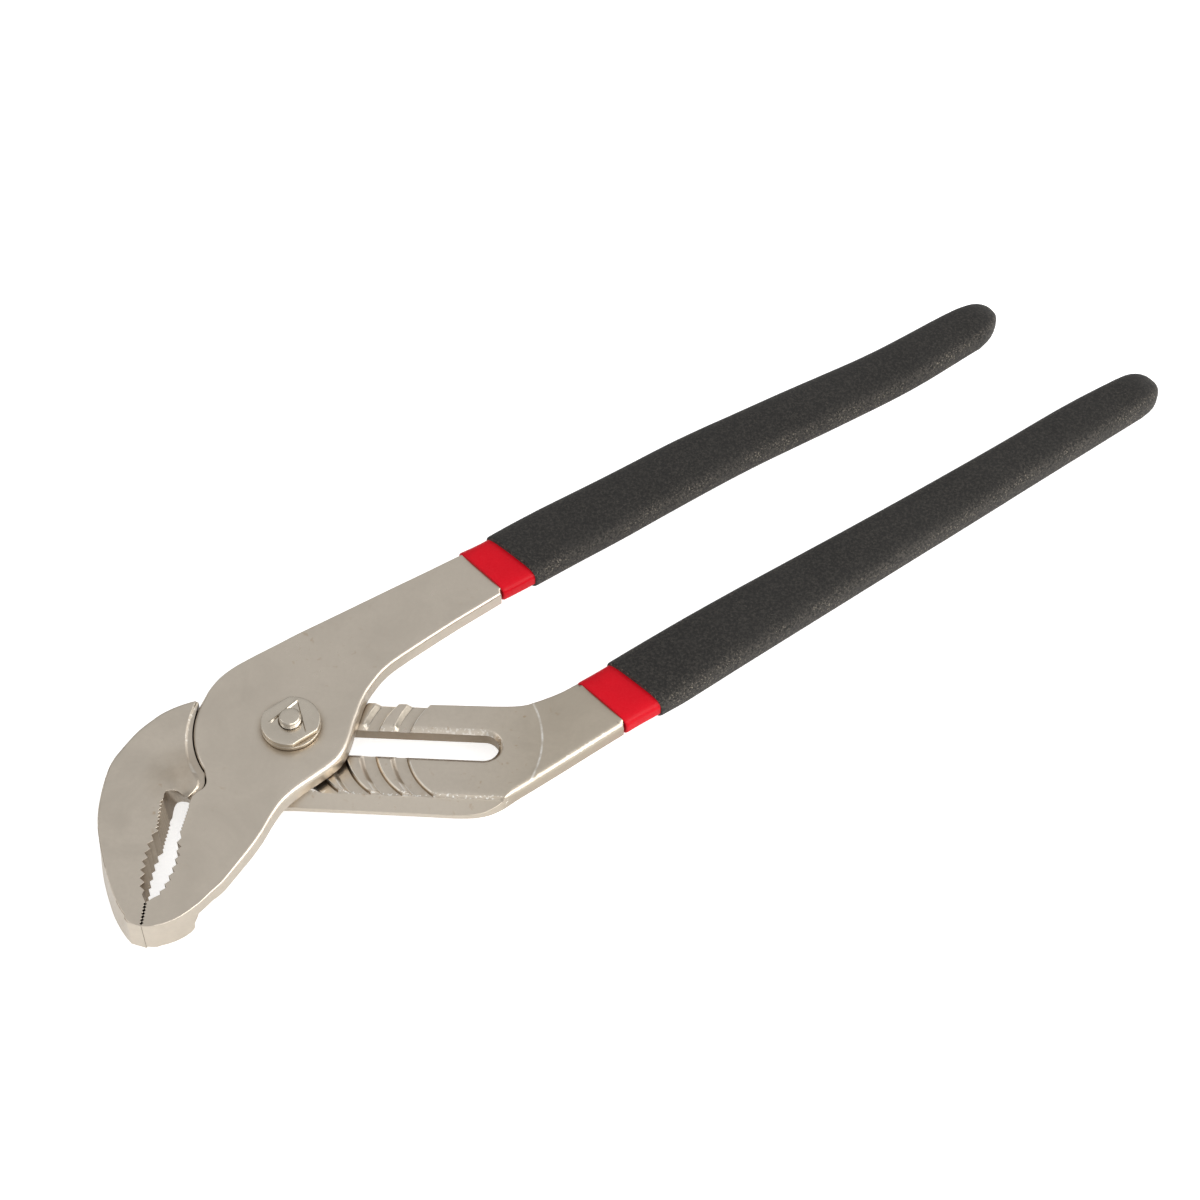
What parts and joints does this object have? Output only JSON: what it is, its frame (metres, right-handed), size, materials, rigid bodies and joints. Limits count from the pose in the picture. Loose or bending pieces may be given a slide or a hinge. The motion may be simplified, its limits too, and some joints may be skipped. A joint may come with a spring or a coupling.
{
  "type": "tongue and groove pliers",
  "caption": "Slip-joint pipe pliers: a tongued jaw half pivots on a bolt and steps along arc grooves in a slotted half; dipped two-colour handle coverings.",
  "frame": {"origin": "on the pivot axis, in the outer flat face of the bolt head", "axes": "+Z along the bolt towards the nut, +X along the slot away from the jaws, +Y towards the handles' side of the slot"},
  "size_m": [0.2561, 0.2053, 0.0166],
  "materials": {
    "forged_steel": "satin warm-grey plate over forged and ground steel, fine mottling",
    "bolt_steel": "satin plate, turned and staked",
    "red_vinyl": "glossy dipped vinyl",
    "black_vinyl": "matt, sandy dipped vinyl"
  },
  "bodies": {
    "slotted_side": {"slotted_half": "forged_steel", "slotted_handle_sleeve": "red_vinyl", "slotted_handle_grip": "black_vinyl"},
    "pivot": {"pivot_bolt": "bolt_steel", "pivot_nut": "bolt_steel"},
    "tongued_side": {"tongued_half": "forged_steel", "tongued_handle_sleeve": "red_vinyl", "tongued_handle_grip": "black_vinyl"}
  },
  "joints": [
    {"name": "slot_slide", "type": "slide", "parent": "slotted_side", "child": "pivot", "axis": [1, 0, 0], "range_m": [0, 0.0444]},
    {"name": "jaw_pivot", "type": "hinge", "parent": "pivot", "child": "tongued_side", "pos_m": [0, 0, 0.01], "axis": [0, 0, 1], "range_deg": [0, 50]}
  ]
}
